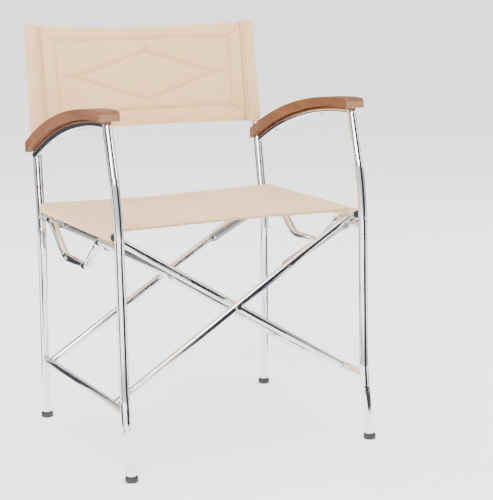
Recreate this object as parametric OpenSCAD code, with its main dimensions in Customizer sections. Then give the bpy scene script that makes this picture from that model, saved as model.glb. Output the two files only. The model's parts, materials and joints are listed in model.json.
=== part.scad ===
// Folding chair: two steel side frames with wooden armrests, a crossed folding base, and
// a canvas seat and back. Millimetres, +Z up, +X to the sitter's left as seen from the front.

/* [Overall] */
// distance between the planes of the two side frames
frame_w = 547; // [500:1:640]
// height of the rear posts, caps included
post_h = 850; // [790:1:930]
// height of the seat tubes
seat_h = 470; // [455:1:480]
// how far the front foot stands in front of the middle
front_reach = 255.5; // [252:0.5:262]
// how far the rear leg stands behind the middle
rear_reach = 208; // [205:0.5:240]

/* [Tubes] */
// radius of the legs and posts
leg_r = 9.5; // [8.5:0.1:10.2]
// radius of the rails, arms and seat tubes
tube_r = 8; // [7:0.1:8.4]
// wall of every tube
wall = 1.5; // [1:0.1:2]

/* [Side frames] */
// height of the lower pivots
pivot_h = 132; // [110:1:150]
// height of the upper rails below the seat
rail_h = 450; // [440:1:455]
// height of the dip in the upper rails
dip_h = 386; // [370:1:410]
// height of the arm tube at its front end
arm_h = 682; // [660:1:710]
// radius the arm tube is bent to
arm_bend = 804; // [740:1:900]
// lean of the rear posts
post_lean = 8.5; // [6:0.1:10]
// height where the rear posts start to lean
lean_h = 400; // [380:1:420]
// how far the leaning plane turns inwards
toe_in = 8; // [5:0.5:11]

/* [Armrests] */
// width of an armrest
rest_w = 43; // [34:1:44]
// thickness of an armrest
rest_t = 20; // [16:1:26]
// how far an armrest sits outside its frame
rest_out = 0; // [-1:0.5:4]
// front end of an armrest, ahead of the middle
rest_front = 178; // [175:1:215]
// rear end of an armrest, behind the middle
rest_rear = 240; // [238:1:276]

/* [Folding base] */
// distance from the middle to the arms of the outer cross frame
outer_y = 175; // [172:0.5:177]
// gap between outer and inner arms, filled by the spacers
arm_gap = 8; // [7.4:0.1:10]
// thickness of the links and tabs
plate_t = 3; // [2:0.1:3.1]
// half width of the links and tabs
plate_r = 9; // [7:0.5:9.5]
// distance from the frame plane to the link pivot on its tab
tab_reach = 24; // [22:0.5:26]
// height of the link pivot on its tab
tab_h = 441; // [437:0.5:443]
// radius of the link pins
pin_r = 3; // [2.5:0.1:4]
// radius of the centre bolts
bolt_r = 4; // [3:0.1:4.5]
// half length of the seat tubes
seat_half = 190; // [186:0.5:191]
// lean of the folded cross frames
fold_lean = 6.5; // [6.3:0.1:8]
// outward lean of each side frame when folded
fold_tilt = 2.4; // [2.3:0.1:2.8]

/* [Canvas] */
// thickness of the canvas round a tube, with its gap
sleeve_t = 3.5; // [3:0.1:3.6]
// thickness of the seat panel
seat_t = 3; // [2:0.5:4]
// thickness of the padded back panel
back_t = 10; // [6:1:14]
// height of the lower edge of the back
back_low = 627; // [600:1:650]

/* [Fits] */
// running clearance of a pin in its hole, on the radius
run_gap = 0.05; // [0.02:0.01:0.1]
// clearance between canvas and steel
soft_gap = 0.3; // [0.3:0.1:0.6]
// clearance between parts that pass each other
pass_gap = 0.5; // [0.3:0.1:0.8]

/* [Hidden] */
$fn = 72;
eps = 1;
hw = frame_w / 2;
inner_y = outer_y - 2 * tube_r - arm_gap;

// front leg and its bends, as [depth, height]
foot_floor = 4;
leg_slope = 26.5 / 132;
knee_in = 18;
knee_h = 524;
leg_top_in = 47;
leg_top_gap = 0.2;
front_low = [-front_reach + pivot_h * leg_slope, pivot_h];
front_mid = [front_low.x + knee_in, knee_h];
front_top = [front_mid.x + leg_top_in, arm_h + 1];
leg_start_h = 6.2;
front_start = [-front_reach + leg_start_h * leg_slope, leg_start_h];
leg_path = [front_start, front_low, front_mid, front_top + (front_top - front_mid) * 0.2];
leg_bends = [0, 400, 500, 0];
foot_r = 13;
foot_h = 11;

// arm tube: a circle whose top is over the front leg
arm_top_y = front_top.x + 4;
arm_c = [arm_top_y, arm_h - arm_bend];
rest_in_r = arm_bend + tube_r;
rest_out_r = rest_in_r + rest_t;

// rear post
cap_h = 7;
post_back = (post_h - cap_h - lean_h) * tan(post_lean) * cos(toe_in);
sleeve_r = tube_r + sleeve_t;
post_sleeve_r = leg_r + sleeve_t - 0.5;
sleeve_back = post_sleeve_r * sqrt(1 - pow(sin(post_lean) * cos(toe_in), 2));
y_mid = (rear_reach + post_back + sleeve_back + front_start.x - foot_r) / 2;
function post_x(z) = hw - max(0, z - lean_h) * tan(post_lean) * sin(toe_in);
function post_y(z) = rear_reach + max(0, z - lean_h) * tan(post_lean) * cos(toe_in);

// cross frames
half_arm = norm([frame_w, seat_h - pivot_h]) / 2;
open_lean = atan2(frame_w, seat_h - pivot_h);
cross_h = (seat_h + pivot_h) / 2;

// link pivot on the arms: the one place where the link closes both open and folded
tab_pt = [tab_reach, tab_h - pivot_h];
near_lean = fold_lean + fold_tilt;
far_lean = fold_lean - fold_tilt;
mid_open = half_arm * [sin(open_lean), cos(open_lean)];
mid_fold = half_arm * [sin(near_lean), cos(near_lean)];
way_open = [-sin(open_lean), cos(open_lean)];
way_fold = [-sin(far_lean), cos(far_lean)];
to_open = mid_open - tab_pt;
to_fold = mid_fold - tab_pt;
pin_out = (to_fold * to_fold - to_open * to_open) / (2 * (way_open * to_open - way_fold * to_fold));
link_pt = mid_open + pin_out * way_open;
link_len = norm(link_pt - tab_pt);

// planes of the links and tabs, measured from the middle
right_link_y = outer_y - tube_r - pass_gap - plate_t / 2;
right_tab_y = right_link_y - plate_t - pass_gap;
left_link_y = inner_y - tube_r - pass_gap - plate_t / 2;
left_tab_y = left_link_y - plate_t - pass_gap;

// lower pivot tube
boss_t = 1.6;
low_front = front_low.x + leg_r + boss_t + soft_gap;
low_rear = rear_reach - leg_r - boss_t - soft_gap;

steel = [0.80, 0.81, 0.83];
plate = [0.62, 0.63, 0.65];
rubber = [0.07, 0.07, 0.08];
teak = [0.60, 0.36, 0.20];
canvas = [0.93, 0.85, 0.72];

// a bend is a hair fatter than its straights and they reach a little way into it, so that
// the two join without sharing a surface
swell = 0.05;
bite = 0.3;

// ---- helpers ----
function way(a, b) = (b - a) / norm(b - a);
function heading(v) = atan2(v.y, v.x);
function turn(u, v) = atan2(u.x * v.y - u.y * v.x, u * v);
function trim(pts, bends, i) = i <= 0 || i >= len(pts) - 1 ? 0
    : bends[i] * tan(abs(turn(way(pts[i - 1], pts[i]), way(pts[i], pts[i + 1]))) / 2);

// profile of a bar or, with an inner radius, of a tube
module disc(r, ri) difference() {
    circle(r = r);
    if (ri > 0) circle(r = ri);
}

// round bar or tube that follows a bent path drawn in the XY plane
module bar(pts, bends, r, ri = 0) {
    n = len(pts) - 1;
    for (i = [0 : n - 1]) {
        u = way(pts[i], pts[i + 1]);
        a = pts[i] + u * (trim(pts, bends, i) - (i > 0 ? bite : 0));
        b = pts[i + 1] - u * (trim(pts, bends, i + 1) - (i < n - 1 ? bite : 0));
        translate([a.x, a.y, 0]) rotate([0, 0, heading(u)]) rotate([0, 90, 0])
            linear_extrude(height = norm(b - a)) disc(r, ri);
    }
    if (n > 1) for (i = [1 : n - 1]) {
        u = way(pts[i - 1], pts[i]);
        v = way(pts[i], pts[i + 1]);
        f = turn(u, v);
        side = f > 0 ? 1 : -1;
        s = pts[i] - u * trim(pts, bends, i);
        c = s + side * bends[i] * [-u.y, u.x];
        translate([c.x, c.y, 0]) rotate([0, 0, f > 0 ? heading(u) - 90 : heading(v) + 90])
            rotate_extrude(angle = abs(f)) translate([bends[i], 0])
                disc(r + swell, ri > 0 ? ri - swell : 0);
    }
}
module bent_tube(pts, bends, r) bar(pts, bends, r, r - wall);

// stands a drawing of [depth, height] in the plane of the right side frame
module in_frame() translate([hw, 0, 0]) rotate([90, 0, 90]) children();
module in_post() translate([hw, rear_reach, 0]) rotate([0, 0, toe_in]) rotate([90, 0, 90])
    children();
module placed() translate([0, -y_mid, 0]) children();
module flipped() mirror([1, 0, 0]) children();

// round rod or tube parallel to the pivots
module rod(x, z, y0, y1, r) translate([x, y0, z]) rotate([-90, 0, 0]) cylinder(h = y1 - y0, r = r);
module ring(x, z, y0, y1, ro, ri) difference() {
    rod(x, z, y0, y1, ro);
    rod(x, z, y0 - eps, y1 + eps, ri);
}

// ---- side frame, right-hand one ----
module leg_bar(r) in_frame() bar(leg_path, leg_bends, r);
module post_bar(r, top = post_h - cap_h) in_post()
    bar([[0, leg_start_h], [0, lean_h], [(top - lean_h) * tan(post_lean), top]],
        [0, 300, 0], r);

module front_leg() color(steel) difference() {
    in_frame() bent_tube(leg_path, leg_bends, leg_r);
    translate([0, -frame_w, arm_h + tube_r - leg_top_gap]) cube([frame_w, frame_w, post_h]);
}

module rear_upright() color(steel) in_post()
    bent_tube([[0, leg_start_h], [0, lean_h],
        [(post_h - cap_h - lean_h) * tan(post_lean), post_h - cap_h]], [0, 300, 0], leg_r);

// the arm tube stops on the middle of the leg and of the post, and is shaped round both
arm_h_at_post = arm_c.y + arm_bend * cos(asin((post_y(arm_h - 110) - arm_c.x) / arm_bend));
arm_end = asin((post_y(arm_h_at_post) - arm_c.x) / arm_bend);
arm_start = asin((front_top.x - arm_c.x) / arm_bend);
module arm_arc() in_frame() translate([arm_c.x, arm_c.y, 0])
    rotate([0, 0, 90 - arm_end]) rotate_extrude(angle = arm_end - arm_start)
    translate([arm_bend, 0]) disc(tube_r, tube_r - wall);
module screw_at(a) translate([hw, arm_c.x, arm_c.y]) rotate([-a, 0, 0])
    translate([0, 0, arm_bend]) children();
screw_angles = [asin(114 / arm_bend), asin(313 / arm_bend)];
screw_r = 2;
module arm_tube() color(steel) difference() {
    arm_arc();
    leg_bar(leg_r);
    post_bar(leg_r);
    for (a = screw_angles) screw_at(a) translate([0, 0, -20]) cylinder(h = 40, r = screw_r + run_gap);
}

rail_path = [[front_low.x + 17, rail_h], [-115, rail_h], [-45, dip_h], [68, dip_h],
    [146, rail_h], [rear_reach, rail_h]];
rail_bends = [0, 35, 35, 35, 35, 0];
module rail_bar(r) in_frame() bar(rail_path, rail_bends, r);
module upper_rail() color(steel) difference() {
    in_frame() bent_tube(rail_path, rail_bends, tube_r);
    leg_bar(leg_r);
    post_bar(leg_r);
}

// the bosses stop just clear of the legs they are welded to
leg_in = leg_bends[1] * (1 / cos((heading(way(leg_path[1], leg_path[2]))
    - heading(way(leg_path[0], leg_path[1]))) / 2) - 1);
module pivot_bosses() color(steel) difference() {
    union() {
        rod(hw, pivot_h, front_low.x, low_front - soft_gap, tube_r);
        rod(hw, pivot_h, low_rear + soft_gap, rear_reach, tube_r);
    }
    translate([hw, front_low.x - leg_in, pivot_h]) rotate([-7, 0, 0]) translate([0, 0, -20])
        cylinder(h = 40, r = leg_r + 0.1);
    translate([hw, rear_reach, pivot_h - 20]) cylinder(h = 40, r = leg_r + 0.1);
}

// plate with two rounded ends, lying across the pivots
module strap(a, b, r, y, t) {
    d = b - a;
    translate([a.x, y + t / 2, a.y]) rotate([90, 0, 0]) rotate([0, 0, atan2(d.y, d.x)])
        linear_extrude(height = t) {
            circle(r = r);
            translate([0, -r]) square([norm(d), 2 * r]);
            translate([norm(d), 0]) circle(r = r);
        }
}
module tab(y) color(plate) difference() {
    strap([hw - tab_reach, tab_h], [hw, tab_h + 4], plate_r, y, plate_t);
    rail_bar(tube_r);
    translate([hw, y - plate_t, 0]) cube([2 * plate_r, 2 * plate_t, post_h]);
    rod(hw - tab_reach, tab_h, y - plate_t, y + plate_t, pin_r + run_gap);
}
// pin with its head on the side of the tab that faces the middle
module tab_pin(s, tab_y, link_y) {
    inner = tab_y - plate_t / 2;
    outer = link_y + plate_t / 2;
    if (s > 0) {
        rod(hw - tab_reach, tab_h, inner - 0.5, outer, pin_r);
        rod(hw - tab_reach, tab_h, inner - 2, inner, pin_r * 1.8);
    } else {
        rod(hw - tab_reach, tab_h, -outer, -inner + 0.5, pin_r);
        rod(hw - tab_reach, tab_h, -inner, -inner + 2, pin_r * 1.8);
    }
}
module tab_pins(tab_y, link_y) color(steel) {
    tab_pin(1, tab_y, link_y);
    tab_pin(-1, tab_y, link_y);
}

// armrest outline in [depth, height]
nose_r = 11;
module rest_outline() translate(arm_c) {
    intersection() {
        difference() {
            circle(r = rest_out_r, $fn = 180);
            circle(r = rest_in_r, $fn = 180);
        }
        square([rest_rear - arm_c.x, rest_out_r + eps]);
    }
    nose = rest_front + arm_c.x;
    translate([-nose, rest_in_r]) {
        translate([nose_r, 0]) square([nose - nose_r + 0.01, rest_t]);
        square([nose, rest_t - nose_r]);
        // only the upper front corner is rounded: the circle is cut off at the underside
        intersection() {
            translate([nose_r, rest_t - nose_r]) circle(r = nose_r);
            square([nose, rest_t]);
        }
    }
}
module armrest() color(teak) difference() {
    translate([hw + rest_out - rest_w / 2, 0, 0]) rotate([90, 0, 90])
        linear_extrude(height = rest_w) rest_outline();
    post_bar(leg_r + 1.5, post_h);
    for (a = screw_angles) screw_at(a) translate([0, 0, -20]) cylinder(h = 34, r = screw_r + run_gap);
}
module armrest_screws() color(steel) for (a = screw_angles) screw_at(a) {
    translate([0, 0, -tube_r - 2]) cylinder(h = tube_r + 14, r = screw_r);
    translate([0, 0, -tube_r - 2.6]) cylinder(h = 2.4, r1 = 3, r2 = 4.2);
}

module foot(y, slope) color(rubber) difference() {
    translate([hw, y, 0]) rotate_extrude() {
        square([foot_r - 2, foot_h]);
        translate([0, 2]) square([foot_r, foot_h - 5]);
        translate([foot_r - 2, 2]) circle(r = 2);
        translate([foot_r - 3, foot_h - 3]) circle(r = 3);
    }
    translate([hw, y, leg_start_h]) rotate([-slope, 0, 0]) cylinder(h = 2 * foot_h, r = leg_r);
}
module post_cap() color(rubber) in_post()
    translate([(post_h - cap_h - lean_h) * tan(post_lean), post_h - cap_h])
    rotate([0, 0, -post_lean]) rotate([-90, 0, 0]) {
        translate([0, 0, -12]) cylinder(h = 12.5, r = leg_r - wall - run_gap);
        rotate_extrude() intersection() {
            translate([0, -leg_r * 0.75]) circle(r = leg_r * 1.45);
            square([leg_r + 0.5, cap_h]);
        }
    }

// ---- canvas ----
module back_sleeve() color(canvas) difference() {
    intersection() {
        post_bar(post_sleeve_r);
        translate([0, 0, back_low]) cube([frame_w, frame_w, post_h]);
    }
    post_bar(leg_r + soft_gap, post_h + 5);
}
module back_panel() color(canvas) {
    lean = atan(tan(post_lean) * cos(toe_in));
    top = post_h - cap_h - 2;
    rise = (top - back_low) / cos(lean);
    w0 = post_x(back_low) - post_sleeve_r - soft_gap - 0.2;
    w1 = post_x(top) - post_sleeve_r - soft_gap - 0.2;
    translate([0, post_y(back_low), back_low + 2]) rotate([90 - lean, 0, 0])
        translate([0, 0, -back_t / 2]) linear_extrude(height = back_t)
        polygon([[-w0, 0], [w0, 0], [w1, rise - 6], [-w1, rise - 6]]);
}
// the sleeve is cut open where the arms of its own cross frame reach the seat tube
module seat_sleeve(arm_y) color(canvas) difference() {
    ring(hw, seat_h, -seat_half + 6, seat_half - 0.5, sleeve_r, tube_r + soft_gap);
    arm_bar(arm_y, tube_r + soft_gap);
    arm_bar(-arm_y, tube_r + soft_gap);
}
module seat_panel() color(canvas) {
    z = seat_h + sleeve_r * 0.4;
    w = hw - sqrt(pow(sleeve_r, 2) - pow(z - seat_h, 2)) - soft_gap - 0.2;
    translate([-w, -seat_half + 8, z]) cube([2 * w, 2 * seat_half - 10, seat_t]);
}

// ---- folding base, drawn for the frame that rises to the right ----
module arm_bar(y, r) translate([0, y, cross_h]) rotate([0, open_lean, 0])
    translate([0, 0, -half_arm]) cylinder(h = 2 * half_arm, r = r);
module cross_arm(y, hole_x, hole_z, bore) color(steel) difference() {
    arm_bar(y, tube_r);
    arm_bar(y, tube_r - wall);
    rod(hw, seat_h, y - 2 * tube_r, y + 2 * tube_r, tube_r);
    rod(-hw, pivot_h, y - 2 * tube_r, y + 2 * tube_r, tube_r);
    rod(0, cross_h, y - 2 * tube_r, y + 2 * tube_r, bore);
    rod(hole_x, hole_z, y - 2 * tube_r, y + 2 * tube_r, pin_r + run_gap);
}
pin_x = hw - link_pt.x;
pin_z = pivot_h + link_pt.y;
module cross_link_pin(s, arm_y, link_y) {
    inner = link_y - plate_t / 2;
    if (s > 0) {
        rod(pin_x, pin_z, inner - 0.2, arm_y + tube_r, pin_r);
        rod(pin_x, pin_z, inner - 1.8, inner - 0.1, pin_r * 1.7);
    } else {
        rod(pin_x, pin_z, -arm_y - tube_r, -inner + 0.2, pin_r);
        rod(pin_x, pin_z, -inner + 0.1, -inner + 1.8, pin_r * 1.7);
    }
}
module link_pins(arm_y, link_y) color(steel) {
    cross_link_pin(1, arm_y, link_y);
    cross_link_pin(-1, arm_y, link_y);
}
module seat_tube() color(steel) ring(hw, seat_h, -seat_half, seat_half, tube_r, tube_r - wall);
module lower_tube() color(steel) ring(-hw, pivot_h, low_front, low_rear, tube_r, tube_r - wall);
module seat_caps() color(rubber) for (s = [0, 1]) mirror([0, s, 0]) {
    rod(hw, seat_h, seat_half - 12, seat_half + 0.4, tube_r - wall - run_gap);
    rod(hw, seat_h, seat_half, seat_half + 2.2, tube_r);
}
module link(y) color(plate) difference() {
    strap([hw - tab_reach, tab_h], [pin_x, pin_z], plate_r, y, plate_t);
    rod(hw - tab_reach, tab_h, y - plate_t, y + plate_t, pin_r + run_gap);
    rod(pin_x, pin_z, y - plate_t, y + plate_t, pin_r + run_gap);
}

module centre_bolts() color(steel) for (s = [0, 1]) mirror([0, s, 0]) {
    rod(0, cross_h, inner_y - tube_r - 4, outer_y + tube_r + 1, bolt_r);
    rod(0, cross_h, outer_y + tube_r + 0.2, outer_y + tube_r + 3, bolt_r * 1.7);
}
module centre_spacers() color(steel) for (s = [0, 1]) mirror([0, s, 0])
    ring(0, cross_h, inner_y + tube_r + 0.3, outer_y - tube_r - 0.3, tube_r - 1, bolt_r + run_gap);
module centre_nuts() color(steel) for (s = [0, 1]) mirror([0, s, 0]) difference() {
    translate([0, inner_y - tube_r - 3.4, cross_h]) rotate([-90, 0, 0])
        cylinder(h = 3.2, r = bolt_r * 1.75, $fn = 6);
    rod(0, cross_h, inner_y - tube_r - 6, inner_y, bolt_r + run_gap);
}

placed() flipped() front_leg();  // left_front_leg
placed() flipped() rear_upright();  // left_rear_upright
placed() flipped() arm_tube();  // left_arm_tube
placed() flipped() upper_rail();  // left_upper_rail
placed() flipped() pivot_bosses();  // left_pivot_bosses
placed() flipped() tab(-left_tab_y);  // left_front_tab
placed() flipped() tab(left_tab_y);  // left_rear_tab
placed() flipped() tab_pins(left_tab_y, left_link_y);  // left_tab_pins
placed() flipped() armrest();  // left_armrest
placed() flipped() armrest_screws();  // left_armrest_screws
placed() flipped() foot(front_start.x, atan(leg_slope));  // left_front_foot
placed() flipped() foot(rear_reach, 0);  // left_rear_foot
placed() flipped() post_cap();  // left_post_cap
placed() flipped() back_sleeve();  // left_back_sleeve
placed() back_panel();
placed() front_leg();  // right_front_leg
placed() rear_upright();  // right_rear_upright
placed() arm_tube();  // right_arm_tube
placed() upper_rail();  // right_upper_rail
placed() pivot_bosses();  // right_pivot_bosses
placed() tab(-right_tab_y);  // right_front_tab
placed() tab(right_tab_y);  // right_rear_tab
placed() tab_pins(right_tab_y, right_link_y);  // right_tab_pins
placed() armrest();  // right_armrest
placed() armrest_screws();  // right_armrest_screws
placed() foot(front_start.x, atan(leg_slope));  // right_front_foot
placed() foot(rear_reach, 0);  // right_rear_foot
placed() post_cap();  // right_post_cap
placed() back_sleeve();  // right_back_sleeve
placed() flipped()  // inner_front_arm
    cross_arm(-inner_y, pin_x, pin_z, bolt_r + run_gap);
placed() flipped()  // inner_rear_arm
    cross_arm(inner_y, pin_x, pin_z, bolt_r + run_gap);
placed() flipped() lower_tube();  // inner_lower_tube
placed() flipped() seat_tube();  // inner_seat_tube
placed() flipped() seat_caps();  // inner_seat_caps
placed() flipped() link_pins(inner_y, left_link_y);  // inner_link_pins
placed() flipped() seat_sleeve(inner_y);  // left_seat_sleeve
placed() seat_panel();
placed()  // outer_front_arm
    cross_arm(-outer_y, pin_x, pin_z, bolt_r + run_gap);
placed()  // outer_rear_arm
    cross_arm(outer_y, pin_x, pin_z, bolt_r + run_gap);
placed() lower_tube();  // outer_lower_tube
placed() seat_tube();  // outer_seat_tube
placed() seat_caps();  // outer_seat_caps
placed() link_pins(outer_y, right_link_y);  // outer_link_pins
placed() seat_sleeve(outer_y);  // right_seat_sleeve
placed() centre_bolts();
placed() centre_spacers();
placed() centre_nuts();
placed() flipped() link(-left_link_y);  // left_front_link
placed() flipped() link(left_link_y);  // left_rear_link
placed() link(-right_link_y);  // right_front_link
placed() link(right_link_y);  // right_rear_link
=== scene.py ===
import json
import math

import bmesh
import bpy
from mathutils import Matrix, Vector, noise


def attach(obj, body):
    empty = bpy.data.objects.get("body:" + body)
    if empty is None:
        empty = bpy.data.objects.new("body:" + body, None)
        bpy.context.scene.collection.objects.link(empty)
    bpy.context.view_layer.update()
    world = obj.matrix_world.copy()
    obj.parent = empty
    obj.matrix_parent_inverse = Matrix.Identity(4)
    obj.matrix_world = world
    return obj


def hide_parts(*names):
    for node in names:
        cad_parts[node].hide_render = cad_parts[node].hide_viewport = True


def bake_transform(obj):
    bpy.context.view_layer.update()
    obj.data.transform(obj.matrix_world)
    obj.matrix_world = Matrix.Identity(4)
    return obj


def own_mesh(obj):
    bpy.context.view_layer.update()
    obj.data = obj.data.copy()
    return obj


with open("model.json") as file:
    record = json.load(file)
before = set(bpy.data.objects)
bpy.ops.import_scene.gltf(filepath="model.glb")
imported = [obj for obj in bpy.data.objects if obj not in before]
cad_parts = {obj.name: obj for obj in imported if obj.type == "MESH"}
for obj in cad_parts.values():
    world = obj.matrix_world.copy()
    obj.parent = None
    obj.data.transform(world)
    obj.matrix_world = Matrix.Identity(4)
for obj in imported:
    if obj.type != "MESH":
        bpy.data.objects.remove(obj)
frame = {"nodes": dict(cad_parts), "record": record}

bl_info = {
    "name": "Folding canvas chair",
    "version": (1, 0, 0),
    "blender": (4, 5, 0),
    "location": "3D View > Sidebar > Chair",
    "description": "Builds the looks of the folding chair round its packed frame",
    "category": "Object",
}

MM = 0.001
OUTER = 0.286  # past the outermost canvas of the back
BACK_EDGE = 0.277  # half width of the back where its edges stop dipping
SLEEVE = 11.5 * MM  # radius of the canvas round a seat tube
TUBE = 8 * MM  # radius of the rails, arms and seat tubes
RAIL = 0.45  # height of the ends of the upper rails
RAIL_FRONT = -0.206  # depth of the rail's front weld, before centring
BEAD_OFF = 8.6 * MM  # from a tube's centre to the weld bead of an arm
STAR_MID = 739 * MM  # height of the middle of the stitched star


# ---- sizes ----

class ChairSizes(bpy.types.PropertyGroup):
    y_mid: bpy.props.FloatProperty(
        name="Middle", description="Depth of the middle of the base, before centring",
        default=9.336 * MM, unit="LENGTH")
    half_width: bpy.props.FloatProperty(
        name="Half width", description="From the centre line to the plane of a side frame",
        default=273.5 * MM, unit="LENGTH")
    rear_reach: bpy.props.FloatProperty(
        name="Rear reach", description="Depth of the rear posts behind the middle",
        default=208 * MM, unit="LENGTH")
    lean_start: bpy.props.FloatProperty(
        name="Lean start", description="Height where the posts start to lean",
        default=400 * MM, unit="LENGTH")
    post_lean: bpy.props.FloatProperty(
        name="Post lean", description="Lean of the rear posts",
        default=math.radians(8.5), subtype="ANGLE")
    toe_in: bpy.props.FloatProperty(
        name="Toe-in", description="How far the plane of the lean turns inwards",
        default=math.radians(8), subtype="ANGLE")
    seat_height: bpy.props.FloatProperty(
        name="Seat height", description="Height of the seat tubes", default=470 * MM, unit="LENGTH")
    pivot_height: bpy.props.FloatProperty(
        name="Pivot height", description="Height of the lower pivots", default=132 * MM,
        unit="LENGTH")


class CanvasSizes(bpy.types.PropertyGroup):
    back_low: bpy.props.FloatProperty(
        name="Back low edge", description="Height of the lower edge of the back",
        default=624 * MM, unit="LENGTH")
    back_top: bpy.props.FloatProperty(
        name="Back top edge", description="Height of the top corners of the back",
        default=854 * MM, unit="LENGTH")
    back_sag: bpy.props.FloatProperty(
        name="Back sag", description="How far the top edge dips in the middle",
        default=10 * MM, unit="LENGTH")
    loop_radius: bpy.props.FloatProperty(
        name="Post loop", description="Radius of the canvas round a post", default=12.3 * MM,
        unit="LENGTH")
    loop_seam: bpy.props.FloatProperty(
        name="Loop seam", description="Distance of the post loop's seam from the centre line",
        default=243 * MM, unit="LENGTH")
    pad: bpy.props.FloatProperty(
        name="Padding", description="Half thickness of the padding of the back",
        default=8 * MM, unit="LENGTH")
    frame_half: bpy.props.FloatProperty(
        name="Stitched frame half width", description="Half width of the stitched rectangle",
        default=210 * MM, unit="LENGTH")
    frame_low: bpy.props.FloatProperty(
        name="Stitched frame low", description="Lower side of the stitched rectangle",
        default=664 * MM, unit="LENGTH")
    frame_high: bpy.props.FloatProperty(
        name="Stitched frame high", description="Upper side of the stitched rectangle",
        default=818 * MM, unit="LENGTH")
    seat_sag: bpy.props.FloatProperty(
        name="Seat sag", description="How far the seat sags in the middle", default=4 * MM,
        unit="LENGTH")
    seat_front: bpy.props.FloatProperty(
        name="Seat front", description="Front edge of the seat at its corners",
        default=184 * MM, unit="LENGTH")
    seat_pull: bpy.props.FloatProperty(
        name="Seat front pull", description="How far the front edge is drawn back in the middle",
        default=24 * MM, unit="LENGTH")
    seat_rear: bpy.props.FloatProperty(
        name="Seat rear", description="Rear edge of the seat", default=190 * MM, unit="LENGTH")
    cloth: bpy.props.FloatProperty(
        name="Cloth", description="Thickness of the canvas", default=2.4 * MM, unit="LENGTH")
    stitch: bpy.props.FloatProperty(
        name="Stitch", description="Length of one stitch and its gap", default=4.2 * MM,
        unit="LENGTH")


class StageSizes(bpy.types.PropertyGroup):
    azimuth: bpy.props.FloatProperty(
        name="Azimuth", description="Camera azimuth", default=math.radians(-28.2265),
        subtype="ANGLE")
    elevation: bpy.props.FloatProperty(
        name="Elevation", description="Camera elevation", default=math.radians(11.4241),
        subtype="ANGLE")
    distance: bpy.props.FloatProperty(
        name="Distance", description="Camera distance from its target", default=3.0985,
        unit="LENGTH")
    target: bpy.props.FloatVectorProperty(
        name="Target", description="What the camera looks at", default=(0.11496, 0.0, 0.37487),
        subtype="XYZ")
    lens: bpy.props.FloatProperty(
        name="Lens", description="Focal length in millimetres on a 36 mm sensor", default=103.18)
    key: bpy.props.FloatProperty(
        name="Key light", description="Power of the key light in watts", default=150.0)
    glow: bpy.props.FloatProperty(
        name="Floor glow", description="Light the floor gives off, for an even pale ground",
        default=0.9)
    sky: bpy.props.FloatProperty(
        name="Surroundings", description="Strength of the pale surroundings", default=1.15)


def sizes():
    return bpy.context.scene.chair_sizes


def canvas():
    return bpy.context.scene.chair_canvas


def post_at(side, z):
    """Centre of a rear post at a height; side is -1 or 1."""
    c = sizes()
    run = max(0.0, z - c.lean_start) * math.tan(c.post_lean)
    return Vector((side * (c.half_width - run * math.sin(c.toe_in)),
                   c.rear_reach + run * math.cos(c.toe_in) - c.y_mid, z))


def smooth(a, b, x):
    t = min(1.0, max(0.0, (x - a) / (b - a)))
    return t * t * (3 - 2 * t)


# ---- materials ----

class Nodes:
    """Short way to wire up one material."""

    def __init__(self, name):
        self.mat = bpy.data.materials.new(name)
        self.mat.use_nodes = True
        self.tree = self.mat.node_tree
        self.bsdf = self.tree.nodes["Principled BSDF"]
        self.where = self.add("ShaderNodeTexCoord").outputs["Object"]

    def add(self, kind, **values):
        n = self.tree.nodes.new(kind)
        for key, value in values.items():
            key = key.replace("_", " ")
            if key in n.inputs:
                n.inputs[key].default_value = value
            else:
                setattr(n, key.replace(" ", "_"), value)
        return n

    def link(self, a, b):
        self.tree.links.new(a, b)

    def stretched(self, scale, turn=(0, 0, 0)):
        m = self.add("ShaderNodeMapping")
        m.inputs["Scale"].default_value = scale
        m.inputs["Rotation"].default_value = turn
        self.link(self.where, m.inputs["Vector"])
        return m.outputs["Vector"]

    def noise(self, scale, detail=4.0, rough=0.5, vector=None):
        n = self.add("ShaderNodeTexNoise")
        n.inputs["Scale"].default_value = scale
        n.inputs["Detail"].default_value = detail
        n.inputs["Roughness"].default_value = rough
        self.link(vector or self.where, n.inputs["Vector"])
        return n.outputs["Fac"]

    def wave(self, scale, axis, distort=0.0, vector=None):
        n = self.add("ShaderNodeTexWave")
        n.bands_direction = axis
        n.inputs["Scale"].default_value = scale
        n.inputs["Distortion"].default_value = distort
        n.inputs["Detail"].default_value = 2.0
        self.link(vector or self.where, n.inputs["Vector"])
        return n.outputs["Fac"]

    def ramp(self, fac, stops):
        n = self.add("ShaderNodeValToRGB")
        e = n.color_ramp.elements
        while len(e) < len(stops):
            e.new(0.5)
        for el, (at, col) in zip(e, stops):
            el.position = at
            el.color = (*col, 1)
        self.link(fac, n.inputs["Fac"])
        return n.outputs["Color"]

    def math(self, op, a, b):
        n = self.add("ShaderNodeMath")
        n.operation = op
        for i, v in enumerate((a, b)):
            if isinstance(v, (int, float)):
                n.inputs[i].default_value = v
            else:
                self.link(v, n.inputs[i])
        return n.outputs[0]

    def between(self, fac, low, high):
        n = self.add("ShaderNodeMapRange")
        n.inputs["To Min"].default_value = low
        n.inputs["To Max"].default_value = high
        self.link(fac, n.inputs["Value"])
        return n.outputs[0]

    def bump(self, height, strength, distance, onto=None):
        n = self.add("ShaderNodeBump")
        n.inputs["Strength"].default_value = strength
        n.inputs["Distance"].default_value = distance
        self.link(height, n.inputs["Height"])
        if onto is not None:
            self.link(onto, n.inputs["Normal"])
        return n.outputs["Normal"]

    def set(self, **values):
        for key, value in values.items():
            s = self.bsdf.inputs[key.replace("_", " ")]
            if hasattr(value, "is_output"):
                self.link(value, s)
            else:
                s.default_value = value
        return self.mat


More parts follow.
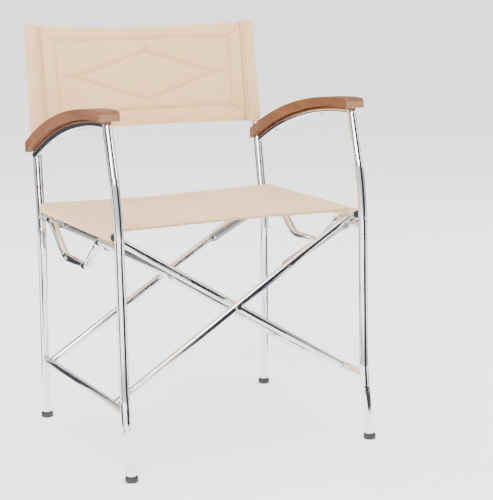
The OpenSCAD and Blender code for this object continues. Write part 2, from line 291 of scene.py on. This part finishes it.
def make_materials():
    out = {}
    n = Nodes("steel")
    soft = n.noise(14, 3)
    haze = n.noise(420, 2, 0.6, n.stretched((1, 1, 0.15)))
    out["steel"] = n.set(
        Base_Color=n.ramp(soft, [(0.3, (0.78, 0.79, 0.82)), (0.7, (0.86, 0.86, 0.87))]),
        Metallic=1.0, Roughness=n.between(haze, 0.035, 0.1),
        Normal=n.bump(n.noise(30, 2), 0.03, 0.002))
    n = Nodes("plate")
    brush = n.noise(60, 3, 0.6, n.stretched((2, 2, 26), (0, 0.9, 0)))
    out["plate"] = n.set(
        Base_Color=n.ramp(brush, [(0.3, (0.42, 0.42, 0.43)), (0.7, (0.58, 0.58, 0.59))]),
        Metallic=1.0, Roughness=n.between(brush, 0.22, 0.42), Normal=n.bump(brush, 0.1, 0.0006))
    n = Nodes("weld")
    rough = n.noise(700, 4, 0.6)
    out["weld"] = n.set(
        Base_Color=n.ramp(n.noise(200, 3), [(0.3, (0.5, 0.5, 0.52)), (0.7, (0.72, 0.72, 0.73))]),
        Metallic=1.0, Roughness=n.between(rough, 0.15, 0.4), Normal=n.bump(rough, 0.3, 0.0008))
    n = Nodes("rubber")
    grain = n.noise(900, 4, 0.6)
    out["rubber"] = n.set(
        Base_Color=n.ramp(
            n.noise(60, 3), [(0.3, (0.012, 0.012, 0.014)), (0.7, (0.03, 0.03, 0.034))]),
        Roughness=n.between(grain, 0.38, 0.6), Normal=n.bump(grain, 0.15, 0.0005))
    n = Nodes("teak")
    warp = n.stretched((1, 0.16, 1), (0.12, 0.05, 0))
    rings = n.wave(22, "X", 5.0, warp)
    fibre = n.noise(520, 6, 0.65, n.stretched((1, 0.045, 1), (0.1, 0.03, 0)))
    patch = n.noise(16, 3, 0.5, n.stretched((1, 0.4, 1)))
    mixed = n.math("ADD", n.math("MULTIPLY", fibre, 0.62), n.math(
        "ADD", n.math("MULTIPLY", rings, 0.16), n.math("MULTIPLY", patch, 0.26)))
    pores = n.noise(1500, 2, 0.5, n.stretched((1, 0.03, 1)))
    side = n.ramp(mixed, [(0.25, (0.075, 0.026, 0.009)), (0.5, (0.16, 0.056, 0.019)),
                          (0.75, (0.25, 0.094, 0.034))])
    end_rings = n.wave(130, "Z", 9.0, n.stretched((0.5, 1, 1), (0, 0.5, 0)))
    end = n.ramp(end_rings, [(0.1, (0.17, 0.085, 0.042)), (0.9, (0.30, 0.165, 0.09))])
    facing = n.add("ShaderNodeSeparateXYZ")
    n.link(n.add("ShaderNodeTexCoord").outputs["Normal"], facing.inputs[0])
    sharp = n.add("ShaderNodeMapRange")
    sharp.inputs["From Min"].default_value, sharp.inputs["From Max"].default_value = 0.8, 0.95
    n.link(n.math("ABSOLUTE", facing.outputs["Y"], 0), sharp.inputs["Value"])
    mix = n.add("ShaderNodeMix", data_type="RGBA")
    n.link(sharp.outputs[0], mix.inputs["Factor"])
    n.link(side, mix.inputs[6])
    n.link(end, mix.inputs[7])
    out["teak"] = n.set(
        Base_Color=mix.outputs[2], Roughness=n.between(fibre, 0.42, 0.62),
        Specular_IOR_Level=0.3,
        Normal=n.bump(pores, 0.25, 0.0004, n.bump(fibre, 0.2, 0.0006)))
    # the thread material is thread darkened well past its own brown, to paint the shade of the
    # quilted grooves so that the stitch lines read as dark seams
    for name, lo, hi in (("canvas", (0.80, 0.50, 0.235), (0.88, 0.60, 0.32)),
                         ("canvas_dark", (0.46, 0.30, 0.14), (0.60, 0.42, 0.23)),
                         ("thread_and_groove_shade", (0.17, 0.105, 0.05), (0.24, 0.155, 0.08))):
        n = Nodes(name)
        warp, weft = n.wave(260, "X"), n.wave(260, "Z")
        across = n.wave(260, "Y")
        weave = n.math("ADD", n.math("MULTIPLY", warp, 0.4), n.math(
            "ADD", n.math("MULTIPLY", weft, 0.3), n.math("MULTIPLY", across, 0.3)))
        slub = n.noise(240, 5, 0.7, n.stretched((1, 1, 4)))
        cloud = n.noise(9, 4, 0.55)
        tone = n.math("ADD", n.math("MULTIPLY", cloud, 0.5), n.math(
            "ADD", n.math("MULTIPLY", slub, 0.35), n.math("MULTIPLY", weave, 0.15)))
        out[name] = n.set(
            Base_Color=n.ramp(tone, [(0.3, lo), (0.7, hi)]), Roughness=n.between(slub, 0.78, 0.95),
            Sheen_Weight=0.25, Sheen_Roughness=0.5, Specular_IOR_Level=0.2,
            Normal=n.bump(weave, 0.25, 0.0005, n.bump(
                slub, 0.3, 0.0008, n.bump(n.noise(38, 3), 0.25, 0.003))))
    return out


MATS = {}


def mat(name):
    if not MATS:
        MATS.update(make_materials())
    return MATS[name]


# ---- meshes ----

def new_piece(name, verts, faces, material, body=None):
    me = bpy.data.meshes.new(name)
    me.from_pydata([tuple(v) for v in verts], [], faces)
    me.validate()
    o = bpy.data.objects.new(name, me)
    bpy.context.scene.collection.objects.link(o)
    bm = bmesh.new()
    bm.from_mesh(me)
    bmesh.ops.recalc_face_normals(bm, faces=bm.faces)
    bm.to_mesh(me)
    bm.free()
    for p in me.polygons:
        p.use_smooth = True
    me.materials.append(mat(material))
    if body:
        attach(o, body)
    return o


def shell(nu, nv, top, bottom):
    """Vertices and faces of a closed skin between two surfaces given over the unit square."""
    verts, faces = [], []
    for surface in (top, bottom):
        for i in range(nu + 1):
            for j in range(nv + 1):
                verts.append(surface(i / nu, j / nv))
    step = nv + 1
    other = (nu + 1) * step
    for i in range(nu):
        for j in range(nv):
            a = i * step + j
            faces.append((a, a + step, a + step + 1, a + 1))
            faces.append((a + other, a + 1 + other, a + step + 1 + other, a + step + other))
    rim = [i * step for i in range(nu + 1)]
    rim += [nu * step + j for j in range(1, nv + 1)]
    rim += [i * step + nv for i in range(nu - 1, -1, -1)]
    rim += [j for j in range(nv - 1, 0, -1)]
    for a, b in zip(rim, rim[1:] + rim[:1]):
        faces.append((a, b, b + other, a + other))
    return verts, faces


def ring(verts, faces, centre, axis, radius, thick, n=28, m=8, wobble=0.0):
    """Adds a bead round a tube."""
    turn = Vector((0, 0, 1)).rotation_difference(Vector(axis)).to_matrix()
    base = len(verts)
    for i in range(n):
        a = 2 * math.pi * i / n
        for j in range(m):
            b = 2 * math.pi * j / m
            t = thick * (1 + wobble * math.sin(9 * a + 2 * b))
            v = Vector(((radius + t * math.cos(b)) * math.cos(a),
                        (radius + t * math.cos(b)) * math.sin(a), t * math.sin(b)))
            verts.append(Vector(centre) + turn @ v)
    for i in range(n):
        for j in range(m):
            faces.append((base + i * m + j, base + (i + 1) % n * m + j,
                          base + (i + 1) % n * m + (j + 1) % m, base + i * m + (j + 1) % m))


def stitches(lines, surface, pitch, width=0.9 * MM, height=0.55 * MM):
    """Short raised stitches along lines given in the piece's own flat coordinates."""
    verts, faces = [], []
    for a, b in lines:
        a, b = Vector(a), Vector(b)
        n = max(1, round((b - a).length / pitch))
        along = (b - a) / n
        for i in range(n):
            p, q = a + along * (i + 0.14), a + along * (i + 0.86)
            s0, s1 = Vector(surface(*p)), Vector(surface(*q))
            mid = Vector(surface(*((p + q) / 2)))
            eps = 2 * MM
            du = Vector(surface(p.x + eps, p.y)) - s0
            dv = Vector(surface(p.x, p.y + eps)) - s0
            out = du.cross(dv).normalized()
            side = (s1 - s0).normalized().cross(out) * (width / 2)
            k = len(verts)
            for c, h in ((s0, 0.0), (mid, height), (s1, 0.0)):
                rise = out * (h + 0.15 * MM)
                verts += [c - side - out * 0.4 * MM, c + side - out * 0.4 * MM,
                          c + side * 0.7 + rise, c - side * 0.7 + rise]
            for r in (k, k + 4):
                for e in range(4):
                    after = (e + 1) % 4
                    faces.append((r + e, r + after, r + 4 + after, r + 4 + e))
            faces += [(k, k + 3, k + 2, k + 1), (k + 8, k + 9, k + 10, k + 11)]
    return verts, faces


def line_gap(lines, x, z):
    """Distance from a point to the nearest of some lines."""
    best = 1.0
    for (ax, az), (bx, bz) in lines:
        dx, dz = bx - ax, bz - az
        t = max(0.0, min(1.0, ((x - ax) * dx + (z - az) * dz) / (dx * dx + dz * dz)))
        best = min(best, math.hypot(x - ax - t * dx, z - az - t * dz))
    return best


def wrinkle(x, y, scale, seed):
    return noise.noise(Vector((x * scale, y * scale, seed)))


# ---- the back ----

def back_lines():
    c = canvas()
    w, lo, hi = c.frame_half, c.frame_low, c.frame_high
    z = STAR_MID
    box = [((-w, lo), (w, lo)), ((w, lo), (w, hi)), ((w, hi), (-w, hi)), ((-w, hi), (-w, lo))]
    left, right, low, high = (-170 * MM, z), (170 * MM, z), (0, 683 * MM), (0, 790 * MM)
    star = [(left, high), (high, right), (right, low), (low, left),
            ((-191 * MM, z), left), (right, (191 * MM, z)), (high, (0, 799 * MM))]
    mitre = [((s * w, zz), (s * (w + 15 * MM), zz + k * 12 * MM))
             for s in (-1, 1) for zz, k in ((lo, -1), (hi, 1))]
    return box, star, mitre


def back_top(x):
    c = canvas()
    return c.back_top - c.back_sag * (1 - (x / BACK_EDGE) ** 2)


def back_bottom(x):
    return canvas().back_low + 5 * MM * (1 - (x / BACK_EDGE) ** 2)


def back_pad(x, z):
    """Half thickness of the padded part."""
    c = canvas()
    box, star, mitre = back_lines()
    d_box, d_star = line_gap(box + mitre, x, z), line_gap(star, x, z)
    edge = min(z - back_bottom(x), back_top(x) - z, c.loop_seam + 3 * MM - abs(x))
    h = 1 - math.exp(-d_box / (3.6 * MM))
    h *= 1 - 0.97 * math.exp(-d_star / (3.6 * MM))
    h *= 1 - math.exp(-max(edge, 0) / (6 * MM))
    inside = abs(x) < c.frame_half and c.frame_low < z < c.frame_high
    full = c.pad if inside else c.pad * 0.85
    pucker = 0.5 * MM * wrinkle(x, z, 90, 3.1) * math.exp(-min(d_box, d_star) / (12 * MM))
    return 1.1 * MM + full * h + pucker + 0.9 * MM * wrinkle(x, z, 17, 1.7) * h


def back_face(sign):
    def at(x, z):
        c = canvas()
        mid = post_at(1, z)
        if abs(x) > c.loop_seam - 4 * MM:
            r = c.loop_radius
            off = abs(x) - mid.x
            if off > 0:
                t = math.sqrt(max(0.0, r * r - off * off))
            else:
                k = smooth(c.loop_seam - 4 * MM, mid.x, abs(x))
                t = (1 - k) * 1.2 * MM + k * r
            t += 0.5 * MM * wrinkle(x, z, 30, 6.0) * smooth(0, 8 * MM, t)
        else:
            t = back_pad(x, z)
        hollow = 5 * MM * (1 - (x / mid.x) ** 2)
        return Vector((x, mid.y + hollow - sign * t, z))
    return at


def back_point(sign, x0, x1):
    surface = back_face(sign)

    def at(u, v):
        c = canvas()
        x = x0 + (x1 - x0) * u
        z = back_bottom(x) + (back_top(x) - back_bottom(x)) * v
        edge = post_at(1, z).x + c.loop_radius
        if abs(x) > c.loop_seam:
            k = (abs(x) - c.loop_seam) / (OUTER - c.loop_seam)
            x = math.copysign(c.loop_seam + k * (edge - 0.0002 - c.loop_seam), x)
        return surface(x, z)
    return at


def build_back():
    c = canvas()
    step = 2.5 * MM
    seam = c.loop_seam
    high = round((c.back_top - c.back_low) / step)
    v, f = shell(round(2 * seam / step), high, back_point(1, -seam, seam),
                 back_point(-1, -seam, seam))
    pad = new_piece("back_pad", v, f, "canvas", "left_frame")
    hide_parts("back_panel")
    box, star, mitre = back_lines()
    v, f = stitches(box + star + mitre, back_face(1), c.stitch)
    sewn = new_piece("back_stitches", v, f, "thread_and_groove_shade", "left_frame")
    for o in (pad, sewn):
        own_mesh(o)
    for side, s in (("left", -1), ("right", 1)):
        a, b = (-OUTER, -seam) if s < 0 else (seam, OUTER)
        v, f = shell(18, high, back_point(1, a, b), back_point(-1, a, b))
        loop = new_piece(side + "_back_loop", v, f, "canvas", side + "_frame")
        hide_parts(side + "_back_sleeve")
        v, f = stitches([((x, c.back_low + 3 * MM), (x, c.back_top - 5 * MM))
                         for x in (s * (seam + 1.5 * MM), s * (seam + 7 * MM))],
                        back_face(1), c.stitch)
        new_piece(side + "_loop_stitches", v, f, "thread_and_groove_shade", side + "_frame")


# ---- the seat ----

def seat_lines():
    w, a, b = 205 * MM, -128 * MM, 150 * MM
    m = (a + b) / 2
    return ([((-w, a), (w, a)), ((w, a), (w, b)), ((w, b), (-w, b)), ((-w, b), (-w, a))]
            + [((s * w, m), (0, t)) for s in (-1, 1) for t in (a + 22 * MM, b - 22 * MM)])


def seat_level(x):
    c, s = canvas(), sizes()
    return s.seat_height + SLEEVE - c.seat_sag * (1 - min(1.0, abs(x) / s.half_width) ** 2)


def seat_face(top):
    def at(x, y):
        c, s = canvas(), sizes()
        r, hw = SLEEVE, s.half_width
        off = abs(x) - hw
        round_z = math.sqrt(max(0.0, r * r - off * off))
        if top:
            z = s.seat_height + round_z if off > 0 else seat_level(x)
        else:
            k = smooth(hw - 30 * MM, hw, abs(x)) if off < 0 else 1.0
            under = s.seat_height - (round_z if off > -r else 0.0)
            z = (1 - k) * (seat_level(x) - c.cloth) + k * under
        if off < -16 * MM:
            d = line_gap(seat_lines(), x, y)
            z += -1.1 * MM * math.exp(-d / (4 * MM)) + 0.7 * MM * (1 - math.exp(-d / (30 * MM)))
            z += 1.6 * MM * wrinkle(x + 0.4 * y, 0.35 * y, 9, 2.2) * smooth(-16 * MM, -60 * MM, off)
            z += 0.5 * MM * wrinkle(x, y, 34, 5.5)
        return Vector((x, y - s.y_mid, z))
    return at


def seat_point(top):
    surface = seat_face(top)

    def at(u, v):
        c, s = canvas(), sizes()
        edge = s.half_width + 11.4 * MM
        x = edge * (2 * u - 1)
        bow = 1 - min(1.0, abs(x) / (s.half_width - 14 * MM)) ** 2.2
        y0 = -c.seat_front + c.seat_pull * bow
        y1 = c.seat_rear - 5 * MM * bow
        return surface(x, y0 + (y1 - y0) * v)
    return at


def build_seat():
    c, s = canvas(), sizes()
    step = 3.4 * MM
    v, f = shell(2 * round(s.half_width / step), round(2 * c.seat_front / step), seat_point(True),
                 seat_point(False))
    seat = new_piece("seat_canvas", v, f, "canvas")
    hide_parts("seat_panel", "left_seat_sleeve", "right_seat_sleeve")
    v, f = stitches(seat_lines(), seat_face(True), c.stitch)
    sewn = new_piece("seat_stitches", v, f, "thread_and_groove_shade")
    verts, faces = [], []
    n, m = (220), 10
    edge = seat_point(True)
    for i in range(n + 1):
        u = 0.045 + 0.91 * i / n
        p = edge(u, 0)
        bead = 3.1 * MM * (1 + 0.16 * math.sin(i * 1.9) + 0.1 * math.sin(i * 0.73))
        for j in range(m):
            a = 2 * math.pi * j / m
            verts.append(p + Vector((0, 3.2 * MM + 4.2 * MM * math.cos(a),
                                     -1.5 * MM + bead * 0.75 * math.sin(a))))
    for i in range(n):
        for j in range(m):
            k = i * m
            faces.append((k + j, k + m + j, k + m + (j + 1) % m, k + (j + 1) % m))
    faces += [tuple(range(m)), tuple(n * m + j for j in range(m))]
    hem = new_piece("seat_front_hem", verts, faces, "canvas_dark")
    for o in (seat, sewn, hem):
        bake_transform(o)


# ---- metal and wood carried over ----

def slot_of(node):
    for s in frame["record"]["subparts"]:
        if s["node"] == node:
            return s["material_slot"]
    return "steel"


def dress_nodes():
    for name, o in frame["nodes"].items():
        slot = slot_of(name)
        o.data.materials.clear()
        o.data.materials.append(mat(slot))
        for p in o.data.polygons:
            p.use_smooth = True
        weld = o.modifiers.new("weld", "WELD")
        weld.merge_threshold = 1e-5
        if slot.startswith("teak"):
            bevel = o.modifiers.new("round", "BEVEL")
            bevel.width, bevel.segments, bevel.limit_method = 4.5 * MM, 4, "ANGLE"
            bevel.angle_limit = math.radians(40)
        elif slot in ("plate", "steel"):
            bevel = o.modifiers.new("edge", "BEVEL")
            bevel.width, bevel.segments, bevel.limit_method = 0.35 * MM, 2, "ANGLE"
            bevel.angle_limit = math.radians(50)
            bevel.harden_normals = True
        split = o.modifiers.new("split", "EDGE_SPLIT")
        split.split_angle = math.radians(38)


def build_welds():
    s = sizes()
    hw, zs, zl = s.half_width, s.seat_height, s.pivot_height
    for side, k in (("left", -1), ("right", 1)):
        verts, faces = [], []
        for y in (RAIL_FRONT - s.y_mid, s.rear_reach - s.y_mid - 9.2 * MM):
            ring(verts, faces, (k * hw, y, RAIL), (0, 1, 0), TUBE, 1.5 * MM, wobble=0.2)
        new_piece(side + "_frame_welds", verts, faces, "weld", side + "_frame")
    lean = math.atan2(2 * hw, zs - zl)
    for name, k, y in (("inner", -1, 0.151), ("outer", 1, 0.175)):
        verts, faces = [], []
        d = Vector((k * math.sin(lean), 0, math.cos(lean)))
        for yy in (-y, y):
            for end, way in ((Vector((k * hw, yy - s.y_mid, zs)), -1),
                             (Vector((-k * hw, yy - s.y_mid, zl)), 1)):
                ring(verts, faces, end + way * d * BEAD_OFF, d, TUBE, 1.3 * MM, wobble=0.2)
        new_piece(name + "_frame_welds", verts, faces, "weld", name + "_frame")


# ---- stage ----

def plain(name, colour, rough):
    n = Nodes(name)
    paler = tuple(c * 1.02 for c in colour)
    return n.set(Base_Color=n.ramp(n.noise(3, 3), [(0.3, colour), (0.7, paler)]),
                 Roughness=rough)


def slab(name, centre, size, turn, material):
    me = bpy.data.meshes.new(name)
    w, h = size[0] / 2, size[1] / 2
    me.from_pydata([(-w, -h, 0), (w, -h, 0), (w, h, 0), (-w, h, 0)], [], [(0, 1, 2, 3)])
    me.materials.append(material)
    o = bpy.data.objects.new(name, me)
    o.location = centre
    o.rotation_euler = turn
    bpy.context.scene.collection.objects.link(o)
    return o


def lamp(name, place, size, power, aim=(0, 0, 0.4)):
    data = bpy.data.lights.new(name, "AREA")
    data.shape = "RECTANGLE"
    data.size, data.size_y, data.energy = size[0], size[1], power
    o = bpy.data.objects.new(name, data)
    o.location = place
    o.rotation_euler = (Vector(aim) - Vector(place)).to_track_quat("-Z", "Y").to_euler()
    bpy.context.scene.collection.objects.link(o)
    return o


def build_stage():
    g, s = bpy.context.scene.chair_stage, sizes()
    scene = bpy.context.scene
    ground = plain("floor", (0.93, 0.93, 0.93), 0.7)
    glow = ground.node_tree.nodes["Principled BSDF"].inputs
    glow["Emission Color"].default_value = (1, 1, 1, 1)
    glow["Emission Strength"].default_value = g.glow
    slab("floor", (0, 0, 0), (400, 400), (0, 0, 0), ground)
    # dark screens that only reflections see: azimuth from and to, distance, colour; each has
    # an apron lying on the floor in front of it
    for i, (start, end, dist, tone) in enumerate((
            (-8, 44, 1.3, (0.004, 0.005, 0.014)), (60, 84, 1.3, (0.006, 0.007, 0.02)),
            (-96, -70, 1.3, (0.02, 0.014, 0.01)), (104, 134, 1.4, (0.03, 0.026, 0.024)),
            (-166, -136, 1.4, (0.015, 0.017, 0.025)))):
        a = math.radians((start + end) / 2)
        wide = 2 * dist * math.tan(math.radians(end - start) / 2)
        dark = plain("screen_%d" % i, tone, 0.9)
        near = (dist + 0.5) / 2
        for card in (
                slab("screen_%d" % i, (dist * math.sin(a), -dist * math.cos(a), 1.2), (wide, 2.4),
                     (math.pi / 2, 0, a), dark),
                slab("apron_%d" % i, (near * math.sin(a), -near * math.cos(a), 0.002),
                     (wide * near / dist, dist - 0.5), (0, 0, a), dark)):
            card.visible_camera = card.visible_diffuse = card.visible_shadow = False
    world = bpy.data.worlds.new("studio")
    scene.world = world
    world.use_nodes = True
    tree = world.node_tree
    sky = tree.nodes["Background"]
    sky.inputs["Color"].default_value = (1, 1, 1, 1)
    sky.inputs["Strength"].default_value = g.sky
    lamp("key", (-2.2, -2.6, 3.2), (2.2, 2.2), g.key)
    lamp("fill", (2.8, -1.6, 2.2), (1.8, 1.8), g.key * 0.35)
    lamp("top", (0.2, 0.6, 3.8), (3.4, 3.4), g.key * 0.9)
    for name, x, y, w in (("strip_a", -3.0, -0.6, 0.9), ("strip_b", 1.5, -3.2, 0.7),
                          ("strip_c", 3.1, 0.9, 0.6), ("strip_d", -1.0, 3.4, 1.2)):
        # seen in reflections only, so that it leaves no edge of light on the floor
        lamp(name, (x, y, 1.1), (w, 2.2), g.key * 0.16, (0, 0, 1.1)).data.diffuse_factor = 0
    cam = bpy.data.cameras.new("camera")
    cam.lens, cam.sensor_width = g.lens, 36
    cam.clip_end = 1000
    o = bpy.data.objects.new("camera", cam)
    a, e = g.azimuth, g.elevation
    back_way = Vector((math.sin(a) * math.cos(e), -math.cos(a) * math.cos(e), math.sin(e)))
    target = Vector(g.target) - Vector((0, s.y_mid, 0))
    o.location = target + back_way * g.distance
    o.rotation_euler = (-back_way).to_track_quat("-Z", "Y").to_euler()
    scene.collection.objects.link(o)
    scene.camera = o


# ---- operators and panel ----

class Step:
    bl_options = {"REGISTER"}

    def execute(self, context):
        self.build()
        return {"FINISHED"}


class CHAIR_OT_nodes(Step, bpy.types.Operator):
    """Finish the steel, wood and rubber pieces of the frame"""
    bl_idname = "chair.nodes"
    bl_label = "Finish frame"

    def build(self):
        dress_nodes()


class CHAIR_OT_welds(Step, bpy.types.Operator):
    """Add the weld beads"""
    bl_idname = "chair.welds"
    bl_label = "Welds"

    def build(self):
        build_welds()


class CHAIR_OT_back(Step, bpy.types.Operator):
    """Build the padded back, its loops and its stitching"""
    bl_idname = "chair.back"
    bl_label = "Back"

    def build(self):
        build_back()


class CHAIR_OT_seat(Step, bpy.types.Operator):
    """Build the canvas seat, its hem and its stitching"""
    bl_idname = "chair.seat"
    bl_label = "Seat"

    def build(self):
        build_seat()


class CHAIR_OT_stage(Step, bpy.types.Operator):
    """Build the floor, the lights and the camera"""
    bl_idname = "chair.stage"
    bl_label = "Stage"

    def build(self):
        build_stage()


class CHAIR_PT_panel(bpy.types.Panel):
    bl_idname = "CHAIR_PT_panel"
    bl_label = "Folding chair"
    bl_space_type = "VIEW_3D"
    bl_region_type = "UI"
    bl_category = "Chair"

    def draw(self, context):
        scene = context.scene
        for group in (scene.chair_sizes, scene.chair_canvas, scene.chair_stage):
            column = self.layout.column()
            for key in group.bl_rna.properties.keys():
                if key not in ("rna_type", "name"):
                    column.prop(group, key)
        for op in STEPS:
            self.layout.operator(op.bl_idname)


STEPS = (CHAIR_OT_nodes, CHAIR_OT_welds, CHAIR_OT_back, CHAIR_OT_seat, CHAIR_OT_stage)
CLASSES = (ChairSizes, CanvasSizes, StageSizes, *STEPS, CHAIR_PT_panel)


def register():
    for c in CLASSES:
        bpy.utils.register_class(c)
    bpy.types.Scene.chair_sizes = bpy.props.PointerProperty(type=ChairSizes)
    bpy.types.Scene.chair_canvas = bpy.props.PointerProperty(type=CanvasSizes)
    bpy.types.Scene.chair_stage = bpy.props.PointerProperty(type=StageSizes)


def unregister():
    del bpy.types.Scene.chair_sizes, bpy.types.Scene.chair_canvas, bpy.types.Scene.chair_stage
    for c in reversed(CLASSES):
        bpy.utils.unregister_class(c)


def main():
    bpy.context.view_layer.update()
    register()
    bpy.ops.chair.nodes()
    bpy.ops.chair.welds()
    bpy.ops.chair.back()
    bpy.ops.chair.seat()
    bpy.ops.chair.stage()


if __name__ == "__main__":
    main()
